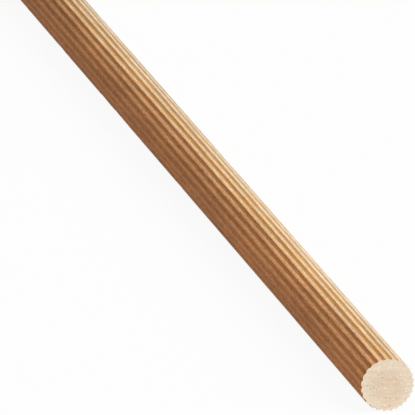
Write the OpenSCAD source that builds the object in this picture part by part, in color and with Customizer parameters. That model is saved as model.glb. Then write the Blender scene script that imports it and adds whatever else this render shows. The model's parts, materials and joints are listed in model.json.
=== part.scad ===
// Fluted dowel rod: one straight piece of wood, round, with scalloped flutes
// cut side by side along its whole length and both ends sawn square. The
// cutters sat a little off the axis, so the flutes are deeper and closer
// together low on one side of the rod.
// Millimetres. The rod lies along X on a surface at Z = 0, on the two ridges
// beside its lowest flute. The origin is under the middle of its length.

/* [Rod] */
// Diameter over the ridges
rod_d = 9.525; // [9:0.025:10]
// Length from one sawn end to the other
rod_l = 304.8; // [50:0.1:915]

/* [Flutes] */
// Number of flutes around the rod
flute_count = 25; // [22:1:28]
// Mean depth of a flute below the ridges on each side of it
flute_depth = 0.23; // [0.2:0.01:0.3]
// Width of the ridge between two flutes of mean depth and spacing
ridge_w = 0.32; // [0.3:0.01:0.4]
// How far off the rod's axis the ring of cutters was
off_centre = 0.07; // [0:0.01:0.08]
// How far a flute is pushed round, in degrees, by the uneven spacing
crowding = 7.6; // [0:0.1:8]

/* [Hidden] */

wood = [0.78, 0.62, 0.45];

rod_r = rod_d / 2;
root_r = rod_r - flute_depth;
pitch_angle = 360 / flute_count;
ridge_angle = 360 * ridge_w / (PI * rod_d);

// Directions across the rod, from Y towards Z.
down = -90;
deep_side = -55;
pushed_side = 69;

// Half of the angle that a flute's mouth spans, seen from the rod's axis.
mouth_angle = (pitch_angle - ridge_angle) / 2;
mouth_y = rod_r * cos(mouth_angle);
mouth_half_w = rod_r * sin(mouth_angle);

// A flute's arc runs through its floor and both edges of its mouth.
sagitta = mouth_y - root_r;
flute_r = (mouth_half_w ^ 2 + sagitta ^ 2) / (2 * sagitta);

// Distance from the rod's axis to the middle of the cutter's circle.
function cutter_at(angle) = root_r + flute_r - off_centre * cos(angle - deep_side);

// Where the flute with this even place really lies. The lowest one keeps its place.
function placed(angle) = angle - crowding * (cos(angle - pushed_side) - cos(down - pushed_side));

// The edges of the lowest flute's mouth are what touches the surface. They
// are where the cutter's circle crosses the rod's.
lowest_at = cutter_at(down);
axis_z = (rod_r ^ 2 + lowest_at ^ 2 - flute_r ^ 2) / (2 * lowest_at);

ridge_steps = 8;
rod_fn = ridge_steps * flute_count;
flute_fn = 64;

// The cutter's outline for the flute whose even place is at this angle.
module flute(angle) {
    rotate(placed(angle))
        translate([cutter_at(angle), 0])
            circle(r = flute_r, $fn = flute_fn);
}

// The rod's cross-section, with a flute at the bottom.
module section() {
    difference() {
        circle(r = rod_r, $fn = rod_fn);
        for (i = [0 : flute_count - 1])
            flute(down + i * pitch_angle);
    }
}

module rod() {
    color(wood)
        translate([0, 0, axis_z])
            rotate([90, 0, 90])
                linear_extrude(rod_l, center = true) section();
}

rod();
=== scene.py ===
"""The looks of a fluted dowel rod: one straight piece of hardwood, with scalloped flutes all along it.

The rod lies along X. Its cross-section is a circle with one flute after another cut into it, and the narrow
ridges left between them are what it rests on. Everything is in metres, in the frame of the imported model.
"""

import json
import math

import bpy
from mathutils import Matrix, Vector


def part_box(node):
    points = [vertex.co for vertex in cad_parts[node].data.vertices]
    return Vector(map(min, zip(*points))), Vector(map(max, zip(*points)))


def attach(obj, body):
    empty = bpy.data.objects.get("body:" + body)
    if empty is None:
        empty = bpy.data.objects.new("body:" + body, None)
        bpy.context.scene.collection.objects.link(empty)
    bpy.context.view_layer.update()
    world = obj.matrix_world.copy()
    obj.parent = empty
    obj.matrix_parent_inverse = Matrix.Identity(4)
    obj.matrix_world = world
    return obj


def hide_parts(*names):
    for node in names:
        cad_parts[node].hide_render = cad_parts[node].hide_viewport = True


bl_info = {
    "name": "Fluted dowel rod",
    "version": (1, 0, 0),
    "blender": (4, 5, 0),
    "location": "3D View > Sidebar > Dowel",
    "description": "Builds a fluted hardwood dowel rod with sawn ends, and a plain stage for it",
    "category": "Add Mesh",
}

MM = 0.001

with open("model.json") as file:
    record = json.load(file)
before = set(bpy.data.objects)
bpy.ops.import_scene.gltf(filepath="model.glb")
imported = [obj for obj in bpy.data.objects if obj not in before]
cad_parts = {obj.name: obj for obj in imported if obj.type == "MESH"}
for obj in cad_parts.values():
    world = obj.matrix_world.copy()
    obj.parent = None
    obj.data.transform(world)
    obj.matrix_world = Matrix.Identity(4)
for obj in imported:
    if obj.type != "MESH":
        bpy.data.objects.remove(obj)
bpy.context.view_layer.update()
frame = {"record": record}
rod_low, rod_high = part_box("rod")


def stated_mount(name):
    """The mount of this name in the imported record."""
    return next(m for m in frame["record"]["mounts"] if m["name"] == name)


ROD_LENGTH = rod_high[0] - rod_low[0]
ROD_DIAMETER = 2 * MM * stated_mount("glue_end")["dims"]["r_mm"]
SAWN_FACE = Vector(stated_mount("sawn_end")["pos_m"])


# ---------------------------------------------------------------- node trees


class Wire:
    """A node's output. Arithmetic on it adds Math nodes to its tree."""

    def __init__(self, nodes, socket):
        self.nodes = nodes
        self.socket = socket

    def output(self, name):
        """Another output of the node that this one belongs to."""
        return Wire(self.nodes, self.socket.node.outputs[name])

    def __add__(self, other):
        return self.nodes.math("ADD", self, other)

    def __radd__(self, other):
        return self.nodes.math("ADD", other, self)

    def __sub__(self, other):
        return self.nodes.math("SUBTRACT", self, other)

    def __rsub__(self, other):
        return self.nodes.math("SUBTRACT", other, self)

    def __mul__(self, other):
        return self.nodes.math("MULTIPLY", self, other)

    def __rmul__(self, other):
        return self.nodes.math("MULTIPLY", other, self)

    def __truediv__(self, other):
        return self.nodes.math("DIVIDE", self, other)

    def __rtruediv__(self, other):
        return self.nodes.math("DIVIDE", other, self)


# What a Noise texture comes to in the mean.
NOISE_MEAN = 0.5


class Nodes:
    """A shader or geometry node tree, whose nodes all come from add()."""

    def __init__(self, tree):
        self.tree = tree
        tree.nodes.clear()

    def add(self, kind, settings=None, inputs=None, output=0):
        """Adds a node: first its settings, then the values or links of its sockets.

        The setting "stops" holds a colour ramp's (position, colour) pairs, and "kept" the kind and name of
        what a Capture Attribute node keeps. Returns one of the node's outputs.
        """
        node = self.tree.nodes.new(kind)
        for name, value in (settings or {}).items():
            if name == "stops":
                set_stops(node.color_ramp, value)
            elif name == "kept":
                node.capture_items.new(*value)
            else:
                setattr(node, name, value)
        for name, value in (inputs or {}).items():
            if isinstance(value, Wire):
                self.tree.links.new(value.socket, node.inputs[name])
            else:
                node.inputs[name].default_value = value
        return Wire(self, node.outputs[output]) if len(node.outputs) else None

    def math(self, operation, *values, clamp=False):
        """A Math node on wires and numbers."""
        settings = {"operation": operation, "use_clamp": clamp}
        return self.add("ShaderNodeMath", settings, dict(enumerate(values)))

    def vector_math(self, operation, *values, output=0):
        """A Vector Math node on wires and vectors."""
        return self.add("ShaderNodeVectorMath", {"operation": operation}, dict(enumerate(values)), output)

    def vector(self, x, y, z):
        """Three values as one vector."""
        return self.add("ShaderNodeCombineXYZ", None, {"X": x, "Y": y, "Z": z})

    def scaled(self, vector, x, y, z):
        """A vector with its three parts multiplied by these numbers."""
        return self.add("ShaderNodeMapping", None, {"Vector": vector, "Scale": (x, y, z)})

    def noise(self, vector, scale, detail=2.0, roughness=0.5, seed=0.0):
        """A Noise texture's value, about 0.2 to 0.8, from a place of its own that the seed chooses."""
        inputs = {"Vector": vector, "W": seed, "Scale": scale, "Detail": detail, "Roughness": roughness}
        return self.add("ShaderNodeTexNoise", {"noise_dimensions": "4D"}, inputs)

    def swing(self, *place_and_scale, **kind):
        """The same noise less its mean, about -0.3 to 0.3."""
        return self.noise(*place_and_scale, **kind) - NOISE_MEAN

    def smooth_range(self, value, low, high, to_low=0.0, to_high=1.0):
        """Value taken from low..high to to_low..to_high, with soft ends."""
        inputs = {"Value": value, "From Min": low, "From Max": high, "To Min": to_low, "To Max": to_high}
        return self.add("ShaderNodeMapRange", {"interpolation_type": "SMOOTHSTEP"}, inputs)

    def mix_colour(self, factor, first, second, blend="MIX"):
        """A Mix node on colours."""
        settings = {"data_type": "RGBA", "blend_type": blend}
        inputs = {"Factor": factor, 6: first, 7: second}
        return self.add("ShaderNodeMix", settings, inputs, output=2)


def set_stops(ramp, stops):
    """Gives a colour ramp these (position, opaque colour) stops."""
    while len(ramp.elements) < len(stops):
        ramp.elements.new(1.0)
    for element, (position, colour) in zip(ramp.elements, stops):
        element.position = position
        element.color = opaque(colour)


def opaque(colour):
    """A colour of three parts with full alpha."""
    return (*colour, 1)


# ---------------------------------------------------------------- what a user may change


class DowelSizes(bpy.types.PropertyGroup):
    """Sizes of the rod and of its flutes."""

    length: bpy.props.FloatProperty(
        name="Length", description="From one sawn end to the other", default=ROD_LENGTH, unit="LENGTH"
    )
    diameter: bpy.props.FloatProperty(
        name="Diameter", description="Over the ridges", default=ROD_DIAMETER, unit="LENGTH"
    )
    flutes: bpy.props.IntProperty(name="Flutes", description="Number of flutes round the rod", default=25)
    flute_depth: bpy.props.FloatProperty(
        name="Flute depth", description="Mean depth, from a ridge to the floor of a flute",
        default=0.23 * MM, unit="LENGTH",
    )
    ridge_width: bpy.props.FloatProperty(
        name="Ridge width", description="Width left between two flutes of mean depth and spacing",
        default=0.32 * MM, unit="LENGTH",
    )
    edge_softness: bpy.props.FloatProperty(
        name="Edge softness", description="How far the edge of a ridge is worn round",
        default=0.05 * MM, unit="LENGTH",
    )
    wear: bpy.props.FloatProperty(
        name="Wear", description="Depth of the low places along the ridges",
        default=0.06 * MM, unit="LENGTH",
    )
    depth_drift: bpy.props.FloatProperty(
        name="Depth drift", description="Share by which a flute's depth wanders along the rod",
        default=0.08, subtype="FACTOR",
    )
    pitch_drift: bpy.props.FloatProperty(
        name="Pitch drift", description="How far a flute wanders round from its place along the rod",
        default=math.radians(0.4), subtype="ANGLE",
    )
    off_centre: bpy.props.FloatProperty(
        name="Off centre", description="How far off the axis the cutters sat, which cuts one side deeper",
        default=0.07 * MM, unit="LENGTH",
    )
    crowding: bpy.props.FloatProperty(
        name="Crowding", description="How far a flute is pushed round by the uneven spacing",
        default=math.radians(7.6), subtype="ANGLE",
    )
    saw_marks: bpy.props.FloatProperty(
        name="Saw marks", description="Depth of the unevenness of a sawn end",
        default=0.03 * MM, unit="LENGTH",
    )


class DowelLooks(bpy.types.PropertyGroup):
    """Colours and finish of the wood. Its brown and pale sides, and much of its paler ridges, are painted
    shade and painted light.
    """

    # The flute colours run from the side away from the key light to the side towards it: painted shade to
    # painted light.
    floor_painted_deep_shade: bpy.props.FloatVectorProperty(
        name="Flute, painted_deep_shade", description="Floor of a flute in the middle of the brown side",
        default=(0.476, 0.192, 0.068), subtype="COLOR",
    )
    floor_brown: bpy.props.FloatVectorProperty(
        name="Flute, brown side", description="Floor of a flute in the brown painted_shade",
        default=(0.42, 0.158, 0.0455), subtype="COLOR",
    )
    floor_golden: bpy.props.FloatVectorProperty(
        name="Flute, between", description="Floor of a flute where painted_shade turns to sapwood",
        default=(0.56, 0.272, 0.08), subtype="COLOR",
    )
    floor_pale: bpy.props.FloatVectorProperty(
        name="Flute, pale side", description="Floor of a flute in the pale sapwood",
        default=(0.60, 0.42, 0.235), subtype="COLOR",
    )
    # This palest flute colour, and the pale ridge colour below, also hold a painted sheen on the side that
    # faces the key light.
    floor_palest: bpy.props.FloatVectorProperty(
        name="Flute, palest", description="Floor of a flute in the middle of the pale side",
        default=(0.665, 0.525, 0.375), subtype="COLOR",
    )
    # Ridges are paler than the flute floors beside them. A little of that is the wood's own, and the rest
    # is a painted highlight on the crests.
    ridge_painted_deep_shade: bpy.props.FloatVectorProperty(
        name="Ridge, painted_deep_shade", description="Ridge in the middle of the brown side",
        default=(0.51, 0.21, 0.077), subtype="COLOR",
    )
    ridge_brown: bpy.props.FloatVectorProperty(
        name="Ridge, brown side", description="Ridge in the brown painted_shade",
        default=(0.58, 0.263, 0.112), subtype="COLOR",
    )
    ridge_golden: bpy.props.FloatVectorProperty(
        name="Ridge, golden", description="Ridge at the edge of the painted_shade",
        default=(0.715, 0.385, 0.183), subtype="COLOR",
    )
    ridge_cream: bpy.props.FloatVectorProperty(
        name="Ridge, between", description="Ridge where painted_shade turns to sapwood",
        default=(0.84, 0.585, 0.335), subtype="COLOR",
    )
    ridge_pale: bpy.props.FloatVectorProperty(
        name="Ridge, pale side", description="Ridge in the pale sapwood",
        default=(0.73, 0.61, 0.465), subtype="COLOR",
    )
    pore_colour: bpy.props.FloatVectorProperty(
        name="Pore", description="Pores of the moulded wood", default=(0.30, 0.13, 0.05), subtype="COLOR"
    )
    sawn_middle: bpy.props.FloatVectorProperty(
        name="Sawn middle", description="End grain in the middle of a sawn end",
        default=(0.755, 0.595, 0.435), subtype="COLOR",
    )
    sawn_rim: bpy.props.FloatVectorProperty(
        name="Sawn rim", description="End grain by the rim of a sawn end",
        default=(0.815, 0.68, 0.525), subtype="COLOR",
    )
    sawn_pore: bpy.props.FloatVectorProperty(
        name="Sawn pore", description="Pores of a sawn end", default=(0.42, 0.30, 0.19), subtype="COLOR"
    )
    torn_fibre: bpy.props.FloatVectorProperty(
        name="Torn fibre", description="Fibres that the saw tore on a sawn end",
        default=(0.97, 0.85, 0.69), subtype="COLOR",
    )
    roughness: bpy.props.FloatProperty(
        name="Roughness", description="Mean roughness of the bare wood", default=0.62, subtype="FACTOR"
    )


class DowelStage(bpy.types.PropertyGroup):
    """Floor, lights and camera."""

    ambient: bpy.props.FloatProperty(name="Ambient", description="Strength of the even light", default=0.45)
    key_strength: bpy.props.FloatProperty(name="Key", description="Strength of the key light", default=2.65)
    key_softness: bpy.props.FloatProperty(
        name="Key softness", description="Angle that the key light fills", default=math.radians(60),
        subtype="ANGLE",
    )
    lens: bpy.props.FloatProperty(
        name="Lens", description="Focal length, in millimetres", default=930.0, unit="CAMERA"
    )


# ---------------------------------------------------------------- materials


# Across the rod, from its brown side to its pale one. The pale side faces the key light and the brown side
# is turned away from it: painted light and painted shade.
PAINTED_LIGHT_ANGLE = math.radians(28)
PAINTED_LIGHT_SIDE = (0.0, math.cos(PAINTED_LIGHT_ANGLE), math.sin(PAINTED_LIGHT_ANGLE))

# How much each pattern changes the tone of the moulded wood. Of a pair, the first is for the side painted
# as shade and the second for the side painted as light.
FIBRE_TONE = 0.8
STREAK_TONE = 0.5
FLECK_TONE = 0.5
GRAIN_TONE = (1.2, 0.6)
BLOTCH_TONE = (0.7, 0.2)

# Tone at the rod's far end, on -X, and at its near one.
FAR_TONE = 0.88
NEAR_TONE = 1.075

# How golden the moulded wood is in patches, and how much that takes from its green and its blue.
GOLD_STRENGTH = (0.3, 1.0)
GOLD_FROM_GREEN = 0.4
GOLD_FROM_BLUE = 1.1

# How far the border between brown and pale wanders, as a share of the rod's width.
SIDE_WANDER = 0.12

# A ridge's paler colour, a little the wood's own and the rest a painted highlight on the crest, ends at
# this share of a flute's depth, give or take what its fibres fray.
RIDGE_HIGHLIGHT_DEPTH = 0.15
RIDGE_FRAY = 0.15

# How much of its own colour a pore or a torn fibre has at its middle.
PORE_STRENGTH = (0.6, 0.2)
SAWN_PORE_STRENGTH = 0.55
TORN_STRENGTH = 0.9

# How much fibres change the moulded wood's roughness, and the relief of its grain and pores against theirs.
FIBRE_ROUGHNESS = 0.3
GRAIN_RELIEF = 0.5
PORE_RELIEF = 0.6

# How much the end grain's cells and rays change its tone, and how uneven the border of its warm middle is.
CELL_TONE = 0.3
RAY_TONE = 0.35
MIDDLE_WANDER = 0.6

# How rough a sawn end is, and how much its cells change that.
SAWN_ROUGHNESS = 0.8
CELL_ROUGHNESS = 0.2


def object_millimetres(nodes):
    """The place on the piece, in millimetres."""
    place = nodes.add("ShaderNodeTexCoord", output="Object")
    return nodes.scaled(place, 1 / MM, 1 / MM, 1 / MM)


def new_material(name):
    """A new material, with its tree and no nodes in it."""
    material = bpy.data.materials.new(name)
    material.use_nodes = True
    return material, Nodes(material.node_tree)


def finish_material(nodes, colour, roughness, height, bump_depth, specular, sheen):
    """Ends a wood's tree in one Principled shader."""
    bump = nodes.add("ShaderNodeBump", None, {"Height": height, "Strength": 1.0, "Distance": bump_depth})
    inputs = {
        "Base Color": colour,
        "Roughness": roughness,
        "Normal": bump,
        "Specular IOR Level": specular,
        "Sheen Weight": sheen,
        "Sheen Roughness": 0.5,
    }
    shader = nodes.add("ShaderNodeBsdfPrincipled", None, inputs)
    nodes.add("ShaderNodeOutputMaterial", None, {"Surface": shader})


def across_rod(nodes, place):
    """0 at the middle of the rod's brown side, and 1 at the middle of its pale one: from painted shade away
    from the key light to painted light towards it.
    """
    towards_painted_light = nodes.vector_math("DOT_PRODUCT", place, PAINTED_LIGHT_SIDE, output="Value")
    return (towards_painted_light - PAINTED_LIGHT_SIDE[2] * SAWN_FACE.z / MM) / (ROD_DIAMETER / MM) + 0.5


def shade_to_light(amounts, painted_light):
    """An amount that goes from its value on the side painted as shade to its value on the side painted as
    light.
    """
    in_shade, in_light = amounts
    return in_shade + (in_light - in_shade) * painted_light


def moulded_wood(looks):
    """Wood as the cutters leave it: fine fibres along X, brown on one side and pale on the other, as
    painted shade away from the key light and painted light towards it.
    """
    material, nodes = new_material("Moulded wood")
    place = object_millimetres(nodes)

    # Noises are drawn out along the grain by a scale below 1 on X.
    long_grain = nodes.scaled(place, 0.05, 1, 1)
    long_spots = nodes.scaled(place, 0.15, 1, 1)
    short_grain = nodes.scaled(place, 0.22, 1, 1)
    shortest_grain = nodes.scaled(place, 0.5, 1, 1)
    fibres = nodes.swing(long_grain, scale=5.0, detail=4.0, roughness=0.6)
    streaks = nodes.swing(long_grain, scale=1.1, detail=3.0, seed=3.0)
    blotches = nodes.swing(long_spots, scale=0.35, seed=7.0)
    gold = nodes.swing(long_spots, scale=1.5, seed=15.0)
    grain = nodes.swing(short_grain, scale=3.5, roughness=0.7, seed=19.0)
    flecks = nodes.swing(shortest_grain, scale=5.0, detail=1.0, roughness=0.7, seed=23.0)
    pores = nodes.noise(short_grain, scale=6.0, detail=1.0, seed=11.0)
    pores = nodes.smooth_range(pores, low=0.59, high=0.70)

    across = across_rod(nodes, place) + SIDE_WANDER * blotches
    # The stops run from painted shade on the side away from the key light to painted light on the side
    # towards it. The palest ones also hold a painted sheen.
    floor_stops = (
        (0.05, looks.floor_painted_deep_shade),
        (0.25, looks.floor_brown),
        (0.54, looks.floor_brown),
        (0.66, looks.floor_golden),
        (0.74, looks.floor_golden),
        (0.90, looks.floor_pale),
        (1.0, looks.floor_palest),
    )
    ridge_stops = (
        (0.05, looks.ridge_painted_deep_shade),
        (0.22, looks.ridge_brown),
        (0.46, looks.ridge_golden),
        (0.62, looks.ridge_cream),
        (1.0, looks.ridge_pale),
    )
    floor = nodes.add("ShaderNodeValToRGB", {"stops": floor_stops}, {"Fac": across})
    crest = nodes.add("ShaderNodeValToRGB", {"stops": ridge_stops}, {"Fac": across})

    # Crests take the paler colours and flute floors the darker ones. This is a little the wood's own, and
    # the rest is a painted highlight on the crests and painted shade in the flutes.
    groove = nodes.add("ShaderNodeAttribute", {"attribute_name": "groove"}, output="Fac")
    ridge = nodes.smooth_range(groove + RIDGE_FRAY * fibres, low=RIDGE_HIGHLIGHT_DEPTH, high=0.0)
    colour = nodes.mix_colour(ridge, floor, crest)

    # The side painted as light is mottled in colour, and the side painted as shade in depth of tone. Both
    # darken a little towards the far end.
    painted_light = nodes.smooth_range(across, low=0.35, high=0.75)
    tone = 1 + FIBRE_TONE * fibres + STREAK_TONE * streaks + FLECK_TONE * flecks
    tone = tone + shade_to_light(GRAIN_TONE, painted_light) * grain + shade_to_light(BLOTCH_TONE, painted_light) * blotches
    towards_near = nodes.vector_math("DOT_PRODUCT", place, (MM / SAWN_FACE.x, 0, 0), output="Value")
    tone = tone * nodes.smooth_range(towards_near, low=-1, high=1, to_low=FAR_TONE, to_high=NEAR_TONE)
    gold = shade_to_light(GOLD_STRENGTH, painted_light) * gold
    tint = nodes.vector(tone, tone * (1 - GOLD_FROM_GREEN * gold), tone * (1 - GOLD_FROM_BLUE * gold))
    colour = nodes.mix_colour(1.0, colour, tint, "MULTIPLY")
    colour = nodes.mix_colour(shade_to_light(PORE_STRENGTH, painted_light) * pores, colour, opaque(looks.pore_colour))

    roughness = looks.roughness + FIBRE_ROUGHNESS * fibres
    height = fibres + GRAIN_RELIEF * grain - PORE_RELIEF * pores
    finish_material(nodes, colour, roughness, height, bump_depth=0.05 * MM, specular=0.05, sheen=0.0)
    return material


# How ragged a speck is, and the share of its size within which it is full.
RAGGEDNESS = 0.7
SPECK_CORE = 0.2


def specks(nodes, place, scale, size, seed):
    """Small ragged specks, 1 at their middle, in loose groups."""
    inputs = {"Vector": place, "W": seed, "Scale": scale}
    from_middle = nodes.add("ShaderNodeTexVoronoi", {"voronoi_dimensions": "4D"}, inputs)
    ragged = from_middle + RAGGEDNESS * nodes.swing(place, scale=6.0, seed=seed)
    groups = nodes.noise(place, scale=0.55, detail=1.0, seed=seed)
    groups = nodes.smooth_range(groups, low=0.38, high=0.56)
    return groups * nodes.smooth_range(ragged, low=size, high=SPECK_CORE * size)


def sawn_wood(looks):
    """End grain of a sawn end: a little warmer in its middle, with faint rays, pores and torn fibres."""
    material, nodes = new_material("Sawn end grain")
    place = object_millimetres(nodes)
    cells = nodes.swing(place, scale=3.5, detail=3.0, roughness=0.6)
    patches = nodes.swing(place, scale=0.5, seed=5.0)
    rays = nodes.swing(nodes.scaled(place, 1.0, 0.3, 2.5), scale=1.3, seed=2.0)
    pores = specks(nodes, place, scale=2.2, size=0.45, seed=0.0)
    torn = specks(nodes, place, scale=1.9, size=0.45, seed=4.0)

    on_face = nodes.vector_math("MULTIPLY", place, (0, 1, 1))
    from_axis = nodes.vector_math("DISTANCE", on_face, (0, 0, SAWN_FACE.z / MM), output="Value")
    towards_rim = from_axis / (0.5 * ROD_DIAMETER / MM) + MIDDLE_WANDER * patches
    towards_rim = nodes.smooth_range(towards_rim, low=0.3, high=1.0)
    colour = nodes.mix_colour(towards_rim, opaque(looks.sawn_middle), opaque(looks.sawn_rim))
    tone = 1 + CELL_TONE * cells + RAY_TONE * rays
    colour = nodes.mix_colour(1.0, colour, nodes.vector(tone, tone, tone), "MULTIPLY")
    colour = nodes.mix_colour(SAWN_PORE_STRENGTH * pores, colour, opaque(looks.sawn_pore))
    colour = nodes.mix_colour(TORN_STRENGTH * torn, colour, opaque(looks.torn_fibre))

    roughness = SAWN_ROUGHNESS + CELL_ROUGHNESS * cells
    height = cells - pores
    finish_material(nodes, colour, roughness, height, bump_depth=0.04 * MM, specular=0.2, sheen=0.2)
    return material


# ---------------------------------------------------------------- the rod


ROD_INPUTS = (
    ("Length", "NodeSocketFloat"),
    ("Diameter", "NodeSocketFloat"),
    ("Axis Height", "NodeSocketFloat"),
    ("Flutes", "NodeSocketInt"),
    ("Flute Depth", "NodeSocketFloat"),
    ("Ridge Width", "NodeSocketFloat"),
    ("Edge Softness", "NodeSocketFloat"),
    ("Wear", "NodeSocketFloat"),
    ("Depth Drift", "NodeSocketFloat"),
    ("Pitch Drift", "NodeSocketFloat"),
    ("Off Centre", "NodeSocketFloat"),
    ("Crowding", "NodeSocketFloat"),
    ("Saw Marks", "NodeSocketFloat"),
    ("Rings", "NodeSocketInt"),
    ("Face Rings", "NodeSocketInt"),
    ("Ridge Steps", "NodeSocketInt"),
    ("Flute Steps", "NodeSocketInt"),
    ("Seed", "NodeSocketInt"),
    ("Moulded Wood", "NodeSocketMaterial"),
    ("Sawn Wood", "NodeSocketMaterial"),
)

# How finely the rod is meshed: rings along its shaft and on a sawn end, and steps over a ridge and a flute.
RINGS = 250
FACE_RINGS = 12
RIDGE_STEPS = 3
FLUTE_STEPS = 10

# Chooses how this rod's flutes drift, where its ridges are worn and how its ends are sawn.
SEED = 16

# Directions across the rod, from Y towards Z: where flutes are deepest, and where they are pushed most.
DEEP_SIDE = math.radians(-55)
PUSHED_SIDE = math.radians(69)
DOWN = math.radians(-90)

# A noise less its mean is mostly within a quarter, so this many times it is about -1 to 1.
SWING_TO_ONE = 4

# This length of the rod, in metres, counts as much in how its flutes drift as one radius across it.
DRIFT_LENGTH = 0.25

# About how many low places there are on the ridges in a radius across the rod, and how long they are.
LOW_PLACES = 4
LOW_PLACE_LENGTH = 6 * MM

# The part of a flute's depth that counts as its ridge's crest, where the ridge is worn.
CREST_DEPTH = 0.35

# The saw's marks on an end, and how quickly its dip deepens from the rim inwards.
SAW_MARK_LENGTH = 3 * MM
SAW_MARK_WIDTH = 0.5 * MM
DIP_STEEPNESS = 6

# A face belongs to the shaft, and not to a sawn end, if its vertices lie all the way out from the axis.
ALL_THE_WAY_OUT = 0.999

# Vertices closer than the first are joined, and edges that turn by more than the second stay sharp.
WELD_DISTANCE = 0.001 * MM
SHARP_CORNER = math.radians(70)


def rod_tree():
    """The rod's geometry tree: a grid of rings along X and steps round it, bent to the fluted section."""
    tree = bpy.data.node_groups.new("Fluted rod", "GeometryNodeTree")
    tree.is_modifier = True
    for name, kind in ROD_INPUTS:
        tree.interface.new_socket(name, in_out="INPUT", socket_type=kind)
    tree.interface.new_socket("Rod", in_out="OUTPUT", socket_type="NodeSocketGeometry")
    nodes = Nodes(tree)
    given = nodes.add("NodeGroupInput").output
    field = rod_fields(nodes, given)

    rings = field["last_ring"] + 1
    grid = {"Size X": 1.0, "Size Y": 1.0, "Vertices X": rings, "Vertices Y": field["columns"]}
    skin = nodes.add("GeometryNodeMeshGrid", None, grid)
    # Index counts faces or corners elsewhere, so what comes from it is kept on the vertices first.
    skin, on_skin = capture(nodes, skin, nodes.vector(field["along"], field["round"], field["spread"]))
    skin, on_end = capture(nodes, skin, nodes.vector(field["y"], field["z"], 0.0))
    shaft = nodes.math("GREATER_THAN", parts(nodes, on_faces(nodes, on_skin))[2], ALL_THE_WAY_OUT)
    skin = store(nodes, skin, "groove", "FLOAT", "POINT", field["groove"])
    skin = store(nodes, skin, "sawn", "BOOLEAN", "FACE", 1 - shaft)
    place = bake_place(nodes, on_skin, on_end, shaft, field["radius"])
    skin = store(nodes, skin, "OFBake", "FLOAT2", "CORNER", place)
    skin = nodes.add("GeometryNodeSetPosition", None, {"Geometry": skin, "Position": field["position"]})
    skin = nodes.add("GeometryNodeMergeByDistance", None, {"Geometry": skin, "Distance": WELD_DISTANCE})
    skin = nodes.add("GeometryNodeFlipFaces", None, {"Mesh": skin})
    smooth = {"Geometry": skin, "Shade Smooth": True}
    skin = nodes.add("GeometryNodeSetShadeSmooth", {"domain": "FACE"}, smooth)
    angle = nodes.add("GeometryNodeInputMeshEdgeAngle")
    corner = nodes.math("GREATER_THAN", angle, SHARP_CORNER)
    sharp = {"Geometry": skin, "Selection": corner, "Shade Smooth": False}
    skin = nodes.add("GeometryNodeSetShadeSmooth", {"domain": "EDGE"}, sharp)
    skin = nodes.add("GeometryNodeRealizeInstances", None, {"Geometry": skin})
    skin = nodes.add("GeometryNodeSetMaterial", None, {"Geometry": skin, "Material": given("Moulded Wood")})
    sawn = nodes.add("GeometryNodeInputNamedAttribute", {"data_type": "BOOLEAN"}, {"Name": "sawn"})
    ends = {"Geometry": skin, "Selection": sawn, "Material": given("Sawn Wood")}
    skin = nodes.add("GeometryNodeSetMaterial", None, ends)
    nodes.add("NodeGroupOutput", None, {0: skin})
    return tree


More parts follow.
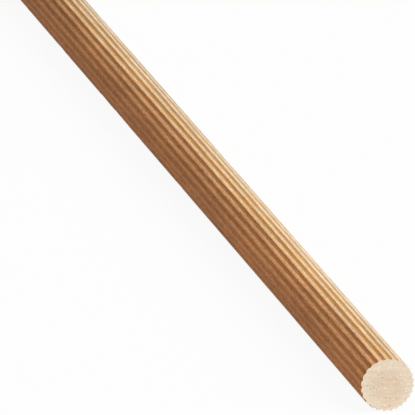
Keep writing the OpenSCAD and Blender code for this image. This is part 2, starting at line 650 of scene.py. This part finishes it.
def rod_fields(nodes, given):
    """What the grid's vertices work out from their own number: where each lies on the rod."""
    math_node = nodes.math
    steps = given("Ridge Steps") + given("Flute Steps")
    columns = given("Flutes") * steps + 1
    last_ring = given("Rings") + 2 * given("Face Rings") - 1

    # Rings come in order: those of one sawn end, from its middle out, then the shaft's and the other end's.
    number = nodes.add("GeometryNodeInputIndex")
    ring = math_node("FLOOR", (number + 0.5) / columns)
    column = number - ring * columns
    from_end = math_node("MINIMUM", ring, last_ring - ring)
    spread = math_node("DIVIDE", from_end, given("Face Rings"), clamp=True)
    along = math_node("DIVIDE", ring - given("Face Rings"), given("Rings") - 1, clamp=True)

    # The cutter's circle runs through the floor and both edges of the mouth of a flute of mean size.
    radius = given("Diameter") / 2
    pitch = 2 * math.pi / given("Flutes")
    ridge_share = given("Ridge Width") * given("Flutes") / (math.pi * given("Diameter"))
    mean_mouth = (1 - ridge_share) / 2 * pitch
    sagitta = radius * math_node("COSINE", mean_mouth) - (radius - given("Flute Depth"))
    half_width = radius * math_node("SINE", mean_mouth)
    cutter = (half_width * half_width + sagitta * sagitta) / (2 * sagitta)

    def flute_place(flute):
        """The angle of a flute's middle, how far its cutter is from the axis, and half its mouth's angle.

        The cutters sat a little off the axis, and all but the lowest were pushed from their even places.
        """
        even = flute * pitch + DOWN
        pushed = math_node("COSINE", even - PUSHED_SIDE) - math.cos(DOWN - PUSHED_SIDE)
        deep = math_node("COSINE", even - DEEP_SIDE)
        cutter_at = radius - given("Flute Depth") + cutter - given("Off Centre") * deep
        mouth = (radius * radius + cutter_at * cutter_at - cutter * cutter) / (2 * radius * cutter_at)
        return even - given("Crowding") * pushed, cutter_at, math_node("ARCCOSINE", mouth)

    # Each pitch starts with the steps of its ridge, from the mouth of the flute before.
    flute = math_node("FLOOR", (column + 0.5) / steps)
    step = column - flute * steps
    before, before_at, before_mouth = flute_place(flute - 1)
    middle, cutter_at, mouth = flute_place(flute)
    ridge_start = before + before_mouth
    ridge_end = middle - mouth
    on_ridge = math_node("MINIMUM", step / given("Ridge Steps"), 1.0)
    on_flute = math_node("MAXIMUM", (step - given("Ridge Steps")) / given("Flute Steps"), 0.0)
    angle = ridge_start + (ridge_end - ridge_start) * on_ridge + 2 * mouth * on_flute

    def scallop(middle, cutter_at):
        """How far from the axis the cutter's circle is, at each vertex's angle."""
        sideways = cutter_at * math_node("SINE", angle - middle)
        chord = math_node("SQRT", math_node("MAXIMUM", cutter * cutter - sideways * sideways, 0.0))
        return cutter_at * math_node("COSINE", angle - middle) - chord

    cut = math_node("MINIMUM", scallop(before, before_at), scallop(middle, cutter_at))
    softened = math_node("SMOOTH_MIN", radius, cut, given("Edge Softness"))

    # No two flutes are quite alike, and the ridges are lower in places.
    x = (along - 0.5) * given("Length")
    around = nodes.vector(math_node("COSINE", angle), math_node("SINE", angle), x / DRIFT_LENGTH)
    wander = nodes.swing(around, scale=2.3, detail=1.0, seed=given("Seed"))
    angle = angle + SWING_TO_ONE * given("Pitch Drift") * wander
    depth_change = nodes.swing(around, scale=3.1, detail=1.0, seed=given("Seed") + 10)
    depth = (radius - softened) * (1 + SWING_TO_ONE * given("Depth Drift") * depth_change)
    groove = depth / given("Flute Depth")
    turned_y = math_node("COSINE", angle)
    turned_z = math_node("SINE", angle)
    on_ridges = nodes.vector(turned_y * LOW_PLACES, turned_z * LOW_PLACES, x / LOW_PLACE_LENGTH)
    low_places = nodes.noise(on_ridges, scale=1.0, seed=given("Seed") + 20)
    worn = nodes.smooth_range(low_places, low=0.5, high=0.72, to_low=0.2)
    crest = nodes.smooth_range(groove, low=CREST_DEPTH, high=0.0)
    fluted = radius - depth - given("Wear") * worn * crest

    # A sawn end dips a little below its rim.
    y = fluted * spread * turned_y
    z = fluted * spread * turned_z
    across_marks = nodes.vector(y / SAW_MARK_LENGTH, z / SAW_MARK_WIDTH, along)
    rough = nodes.noise(across_marks, scale=1.0, seed=given("Seed") + 30)
    inwards = math_node("MINIMUM", (1 - spread) * DIP_STEEPNESS, 1.0)
    dip = inwards * given("Saw Marks") * rough
    towards_middle = 1 - 2 * along
    position = nodes.vector(x + dip * towards_middle, y, z + given("Axis Height"))
    return {
        "last_ring": last_ring, "columns": columns, "spread": spread, "along": along, "groove": groove,
        "position": position, "round": column / (columns - 1), "y": y, "z": z, "radius": radius,
    }


def capture(nodes, geometry, vector):
    """Keeps a vector field on the geometry's vertices. Returns the geometry and the kept field."""
    settings = {"domain": "POINT", "kept": ("VECTOR", "Place")}
    kept = nodes.add("GeometryNodeCaptureAttribute", settings, {"Geometry": geometry, "Place": vector})
    return kept, kept.output("Place")


def parts(nodes, vector):
    """The three parts of a vector."""
    split = nodes.add("ShaderNodeSeparateXYZ", None, {"Vector": vector})
    return split, split.output("Y"), split.output("Z")


def on_faces(nodes, vector):
    """A vector field's mean over each face."""
    settings = {"domain": "FACE", "data_type": "FLOAT_VECTOR"}
    return nodes.add("GeometryNodeFieldOnDomain", settings, {"Value": vector})


def store(nodes, geometry, name, kind, domain, value):
    """Keeps a field on the geometry as a named attribute."""
    settings = {"data_type": kind, "domain": domain}
    inputs = {"Geometry": geometry, "Name": name, "Value": value}
    return nodes.add("GeometryNodeStoreNamedAttribute", settings, inputs)


# The texture map is 1 by 1: how many bands the shaft is cut into, their height, the width of the discs that
# hold the sawn ends, how far the second disc is from the first, and the space left round each.
BANDS = 2
BAND_HEIGHT = 0.39
DISC_SIZE = 0.19
DISC_STEP = 0.5
MARGIN = 0.005


def bake_place(nodes, on_skin, on_end, shaft, radius):
    """Where each corner lies on the texture map: the shaft's bands one above another, the discs on top."""
    along, turn, _ = parts(nodes, on_skin)
    along_face = parts(nodes, on_faces(nodes, on_skin))[0]
    band = nodes.math("FLOOR", BANDS * along_face)
    band = nodes.math("MINIMUM", band, BANDS - 1)
    shaft_u = MARGIN + (1 - 2 * MARGIN) * (BANDS * along - band)
    shaft_v = MARGIN + (BAND_HEIGHT + MARGIN) * band + BAND_HEIGHT * turn
    y, z, _ = parts(nodes, on_end)
    far_end = nodes.math("GREATER_THAN", along_face, 0.5)
    disc_radius = DISC_SIZE / 2
    disc_u = (disc_radius + MARGIN) + DISC_STEP * far_end + disc_radius * y / radius
    disc_v = (1 - disc_radius - MARGIN) + disc_radius * z / radius
    u = disc_u + (shaft_u - disc_u) * shaft
    v = disc_v + (shaft_v - disc_v) * shaft
    return nodes.vector(u, v, 0.0)


def carried_out(name, tree, values):
    """The mesh that a geometry tree makes from these inputs, as a plain object at the origin."""
    maker = bpy.data.objects.new(name + "_maker", bpy.data.meshes.new(name + "_start"))
    bpy.context.collection.objects.link(maker)
    modifier = maker.modifiers.new(tree.name, "NODES")
    modifier.node_group = tree
    for item in tree.interface.items_tree:
        if item.in_out == "INPUT":
            modifier[item.identifier] = values[item.name]
    maker.update_tag()
    bpy.context.view_layer.update()
    evaluated = maker.evaluated_get(bpy.context.evaluated_depsgraph_get())
    mesh = bpy.data.meshes.new_from_object(evaluated)
    mesh.name = name
    # The maker's own empty slot comes first where the tree's materials are joined to it.
    if mesh.materials[0] is None:
        mesh.materials.pop(index=0)
    bpy.data.objects.remove(maker)
    piece = bpy.data.objects.new(name, mesh)
    bpy.context.collection.objects.link(piece)
    return piece


class DOWEL_OT_rod(bpy.types.Operator):
    """Build the fluted rod with its sawn ends"""

    bl_idname = "dowel.rod"
    bl_label = "Fluted rod"

    def execute(self, context):
        sizes = context.scene.dowel_sizes
        looks = context.scene.dowel_looks
        values = {
            "Length": sizes.length,
            "Diameter": sizes.diameter,
            "Axis Height": SAWN_FACE.z,
            "Flutes": sizes.flutes,
            "Flute Depth": sizes.flute_depth,
            "Ridge Width": sizes.ridge_width,
            "Edge Softness": sizes.edge_softness,
            "Wear": sizes.wear,
            "Depth Drift": sizes.depth_drift,
            "Pitch Drift": sizes.pitch_drift,
            "Off Centre": sizes.off_centre,
            "Crowding": sizes.crowding,
            "Saw Marks": sizes.saw_marks,
            "Rings": RINGS,
            "Face Rings": FACE_RINGS,
            "Ridge Steps": RIDGE_STEPS,
            "Flute Steps": FLUTE_STEPS,
            "Seed": SEED,
            "Moulded Wood": moulded_wood(looks),
            "Sawn Wood": sawn_wood(looks),
        }
        piece = carried_out("rod_wood", rod_tree(), values)
        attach(piece, "root")
        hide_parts("rod")
        return {"FINISHED"}


# ---------------------------------------------------------------- the stage


# The view is square, FRAME_PX wide. The middle of the near sawn face lies in it at FACE_PX, from its top
# left corner, and is CAMERA_DEPTH metres in front of the camera.
FRAME_PX = 415
FACE_PX = (387.6, 385.1)
CAMERA_AZIMUTH = math.radians(75.2)
CAMERA_ELEVATION = math.radians(17.86)
CAMERA_DEPTH = 1.842
SENSOR_WIDTH = 36.0

# Towards the key light, from the rod.
KEY_FROM = Vector((0.45, 0.64, 0.715))

# The floor is plain white to the camera, but for a share of paper that shows the rod's shadow.
FLOOR_SIZE = 60.0
FLOOR_WHITE = 0.93
PAPER = (0.8, 0.8, 0.8, 1)
WHITE = (1, 1, 1, 1)


def add_camera(stage):
    """A long lens that looks down along the rod, with the middle of its sawn face at FACE_PX."""
    data = bpy.data.cameras.new("Camera")
    data.lens = stage.lens
    data.sensor_width = SENSOR_WIDTH
    camera = bpy.data.objects.new("Camera", data)
    bpy.context.collection.objects.link(camera)
    camera.rotation_euler = (math.pi / 2 - CAMERA_ELEVATION, 0, CAMERA_AZIMUTH)
    focal_px = stage.lens / SENSOR_WIDTH * FRAME_PX
    middle_px = FRAME_PX / 2
    to_face = Vector(((FACE_PX[0] - middle_px) / focal_px, (middle_px - FACE_PX[1]) / focal_px, -1))
    camera.location = SAWN_FACE - camera.rotation_euler.to_matrix() @ to_face * CAMERA_DEPTH
    bpy.context.scene.camera = camera


def add_key(stage):
    """The key light, a wide sun."""
    data = bpy.data.lights.new("Key", "SUN")
    data.energy = stage.key_strength
    data.angle = stage.key_softness
    key = bpy.data.objects.new("Key", data)
    bpy.context.collection.objects.link(key)
    key.rotation_euler = KEY_FROM.to_track_quat("Z", "Y").to_euler()


def any_ray(nodes, *kinds):
    """1 for a ray of any of these kinds, by their names on Light Path."""
    path = nodes.add("ShaderNodeLightPath")
    chosen = path.output(kinds[0])
    for kind in kinds[1:]:
        chosen = nodes.math("MAXIMUM", chosen, path.output(kind))
    return chosen


def add_world(stage):
    """Even light on the object, and plain white where the world itself is seen."""
    world = bpy.data.worlds.new("Studio")
    world.use_nodes = True
    bpy.context.scene.world = world
    nodes = Nodes(world.node_tree)
    even = nodes.add("ShaderNodeBackground", None, {"Color": WHITE, "Strength": stage.ambient})
    white = nodes.add("ShaderNodeBackground", None, {"Color": WHITE, "Strength": 1.0})
    seen = any_ray(nodes, "Is Camera Ray", "Is Glossy Ray", "Is Transmission Ray")
    shown = nodes.add("ShaderNodeMixShader", None, {0: seen, 1: even, 2: white})
    nodes.add("ShaderNodeOutputWorld", None, {"Surface": shown})


def add_floor():
    """A white floor that keeps the rod's shadow."""
    half = FLOOR_SIZE / 2
    corners = [(-half, -half, 0), (half, -half, 0), (half, half, 0), (-half, half, 0)]
    mesh = bpy.data.meshes.new("Floor")
    mesh.from_pydata(corners, [], [(0, 1, 2, 3)])
    floor = bpy.data.objects.new("floor", mesh)
    bpy.context.collection.objects.link(floor)
    material, nodes = new_material("Studio floor")
    paper = nodes.add("ShaderNodeBsdfDiffuse", None, {"Color": PAPER})
    white = nodes.add("ShaderNodeEmission", None, {"Color": WHITE, "Strength": 1.0})
    seen = any_ray(nodes, "Is Camera Ray", "Is Glossy Ray")
    shown = nodes.add("ShaderNodeMixShader", None, {0: FLOOR_WHITE * seen, 1: paper, 2: white})
    nodes.add("ShaderNodeOutputMaterial", None, {"Surface": shown})
    mesh.materials.append(material)


class DOWEL_OT_stage(bpy.types.Operator):
    """Add the floor, the lights and the camera"""

    bl_idname = "dowel.stage"
    bl_label = "Stage"

    def execute(self, context):
        stage = context.scene.dowel_stage
        context.scene.view_settings.view_transform = "Standard"
        add_floor()
        add_world(stage)
        add_key(stage)
        add_camera(stage)
        return {"FINISHED"}


class DOWEL_PT_panel(bpy.types.Panel):
    """Sizes, looks and the buttons that build the rod and its stage"""

    bl_idname = "DOWEL_PT_panel"
    bl_label = "Fluted dowel rod"
    bl_space_type = "VIEW_3D"
    bl_region_type = "UI"
    bl_category = "Dowel"

    def draw(self, context):
        for group in (context.scene.dowel_sizes, context.scene.dowel_looks, context.scene.dowel_stage):
            box = self.layout.box()
            for name in group.bl_rna.properties.keys():
                if name not in ("rna_type", "name"):
                    box.prop(group, name)
        for operator in (DOWEL_OT_rod, DOWEL_OT_stage):
            self.layout.operator(operator.bl_idname)


# ---------------------------------------------------------------- add-on


CLASSES = (DowelSizes, DowelLooks, DowelStage, DOWEL_OT_rod, DOWEL_OT_stage, DOWEL_PT_panel)


def register():
    """Adds the add-on's classes, and its settings to every scene."""
    for item in CLASSES:
        bpy.utils.register_class(item)
    bpy.types.Scene.dowel_sizes = bpy.props.PointerProperty(type=DowelSizes)
    bpy.types.Scene.dowel_looks = bpy.props.PointerProperty(type=DowelLooks)
    bpy.types.Scene.dowel_stage = bpy.props.PointerProperty(type=DowelStage)


def unregister():
    """Takes away what register() added."""
    del bpy.types.Scene.dowel_stage
    del bpy.types.Scene.dowel_looks
    del bpy.types.Scene.dowel_sizes
    for item in reversed(CLASSES):
        bpy.utils.unregister_class(item)


def main():
    """Builds the rod and its stage."""
    register()
    bpy.ops.dowel.rod()
    bpy.ops.dowel.stage()


if __name__ == "__main__":
    main()
